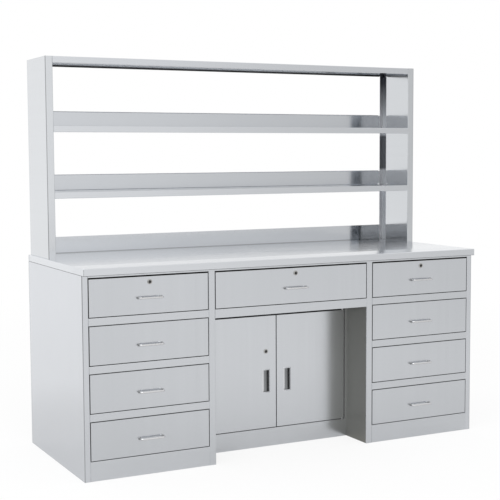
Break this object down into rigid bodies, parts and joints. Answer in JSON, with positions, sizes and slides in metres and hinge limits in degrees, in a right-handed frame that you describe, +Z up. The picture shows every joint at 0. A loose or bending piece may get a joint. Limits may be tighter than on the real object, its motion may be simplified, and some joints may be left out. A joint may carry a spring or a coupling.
{
  "type": "stainless steel reagent drawer cabinet",
  "caption": "Stainless laboratory bench with two drawer pedestals, a middle drawer over a recessed two-door cupboard, and an open reagent rack with shelves along the back.",
  "frame": {"origin": "on the floor, under the middle of the overall box", "axes": "+Z up, the drawers open towards -Y, the raised rear edges and the rack's open back face +Y, X along the width"},
  "size_m": [1.8, 0.712, 1.625],
  "materials": {
    "worktop_steel": "satin with a fine grain along the width",
    "carcass_steel": "satin",
    "front_steel": "satin with a faint upright grain",
    "rack_steel": "satin with a fine grain",
    "fitting_chrome": "polished",
    "board": "raw board, hidden"
  },
  "bodies": {
    "carcass": {"worktop": "worktop_steel", "worktop_board": "board", "front_top_rail": "carcass_steel", "left_outer_side": "carcass_steel", "left_inner_side": "carcass_steel", "right_inner_side": "carcass_steel", "right_outer_side": "carcass_steel", "back_panel": "carcass_steel", "pedestal_base_trays": "carcass_steel", "drawer_rails": "carcass_steel", "centre_drawer_pan": "carcass_steel", "cupboard_frame": "carcass_steel", "cupboard_floor": "carcass_steel", "cupboard_shelf": "carcass_steel", "runner_channels": "carcass_steel", "rack_left_side": "rack_steel", "rack_right_side": "rack_steel", "rack_top": "rack_steel", "rack_upper_shelf": "rack_steel", "rack_lower_shelf": "rack_steel", "door_pivots": "fitting_chrome"},
    "left_drawer_1": {"left_drawer_1_front": "front_steel", "left_drawer_1_box": "carcass_steel", "left_drawer_1_handle": "fitting_chrome", "left_drawer_1_lock_housing": "fitting_chrome"},
    "left_drawer_1_lock": {"left_drawer_1_lock_plug": "fitting_chrome"},
    "left_drawer_2": {"left_drawer_2_front": "front_steel", "left_drawer_2_box": "carcass_steel", "left_drawer_2_handle": "fitting_chrome"},
    "left_drawer_3": {"left_drawer_3_front": "front_steel", "left_drawer_3_box": "carcass_steel", "left_drawer_3_handle": "fitting_chrome"},
    "left_drawer_4": {"left_drawer_4_front": "front_steel", "left_drawer_4_box": "carcass_steel", "left_drawer_4_handle": "fitting_chrome"},
    "centre_drawer": {"centre_drawer_front": "front_steel", "centre_drawer_box": "carcass_steel", "centre_drawer_handle": "fitting_chrome", "centre_drawer_lock_housing": "fitting_chrome"},
    "centre_drawer_lock": {"centre_drawer_lock_plug": "fitting_chrome"},
    "right_drawer_1": {"right_drawer_1_front": "front_steel", "right_drawer_1_box": "carcass_steel", "right_drawer_1_handle": "fitting_chrome", "right_drawer_1_lock_housing": "fitting_chrome"},
    "right_drawer_1_lock": {"right_drawer_1_lock_plug": "fitting_chrome"},
    "right_drawer_2": {"right_drawer_2_front": "front_steel", "right_drawer_2_box": "carcass_steel", "right_drawer_2_handle": "fitting_chrome"},
    "right_drawer_3": {"right_drawer_3_front": "front_steel", "right_drawer_3_box": "carcass_steel", "right_drawer_3_handle": "fitting_chrome"},
    "right_drawer_4": {"right_drawer_4_front": "front_steel", "right_drawer_4_box": "carcass_steel", "right_drawer_4_handle": "fitting_chrome"},
    "left_door": {"left_door_panel": "front_steel", "left_door_pull": "fitting_chrome", "left_door_lock_housing": "fitting_chrome"},
    "left_door_lock": {"left_door_lock_plug": "fitting_chrome"},
    "right_door": {"right_door_panel": "front_steel", "right_door_pull": "fitting_chrome"}
  },
  "joints": [
    {"name": "left_drawer_1_slide", "type": "slide", "parent": "carcass", "child": "left_drawer_1", "axis": [0, -1, 0], "range_m": [0, 0.4]},
    {"name": "left_drawer_1_lock_turn", "type": "hinge", "parent": "left_drawer_1", "child": "left_drawer_1_lock", "pos_m": [-0.6285, -0.332, 0.747], "axis": [0, -1, 0], "range_deg": [0, 90]},
    {"name": "left_drawer_2_slide", "type": "slide", "parent": "carcass", "child": "left_drawer_2", "axis": [0, -1, 0], "range_m": [0, 0.4]},
    {"name": "left_drawer_3_slide", "type": "slide", "parent": "carcass", "child": "left_drawer_3", "axis": [0, -1, 0], "range_m": [0, 0.4]},
    {"name": "left_drawer_4_slide", "type": "slide", "parent": "carcass", "child": "left_drawer_4", "axis": [0, -1, 0], "range_m": [0, 0.4]},
    {"name": "centre_drawer_slide", "type": "slide", "parent": "carcass", "child": "centre_drawer", "axis": [0, -1, 0], "range_m": [0, 0.4]},
    {"name": "centre_drawer_lock_turn", "type": "hinge", "parent": "centre_drawer", "child": "centre_drawer_lock", "pos_m": [0.01, -0.332, 0.747], "axis": [0, -1, 0], "range_deg": [0, 90]},
    {"name": "right_drawer_1_slide", "type": "slide", "parent": "carcass", "child": "right_drawer_1", "axis": [0, -1, 0], "range_m": [0, 0.4]},
    {"name": "right_drawer_1_lock_turn", "type": "hinge", "parent": "right_drawer_1", "child": "right_drawer_1_lock", "pos_m": [0.6285, -0.332, 0.747], "axis": [0, -1, 0], "range_deg": [0, 90]},
    {"name": "right_drawer_2_slide", "type": "slide", "parent": "carcass", "child": "right_drawer_2", "axis": [0, -1, 0], "range_m": [0, 0.4]},
    {"name": "right_drawer_3_slide", "type": "slide", "parent": "carcass", "child": "right_drawer_3", "axis": [0, -1, 0], "range_m": [0, 0.4]},
    {"name": "right_drawer_4_slide", "type": "slide", "parent": "carcass", "child": "right_drawer_4", "axis": [0, -1, 0], "range_m": [0, 0.4]},
    {"name": "left_door_hinge", "type": "hinge", "parent": "carcass", "child": "left_door", "pos_m": [-0.3225, -0.166, 0.3], "axis": [0, 0, -1], "range_deg": [0, 90]},
    {"name": "left_door_lock_turn", "type": "hinge", "parent": "left_door", "child": "left_door_lock", "pos_m": [-0.044, -0.172, 0.405], "axis": [0, -1, 0], "range_deg": [0, 90]},
    {"name": "right_door_hinge", "type": "hinge", "parent": "carcass", "child": "right_door", "pos_m": [0.3345, -0.166, 0.3], "axis": [0, 0, 1], "range_deg": [0, 90]}
  ]
}
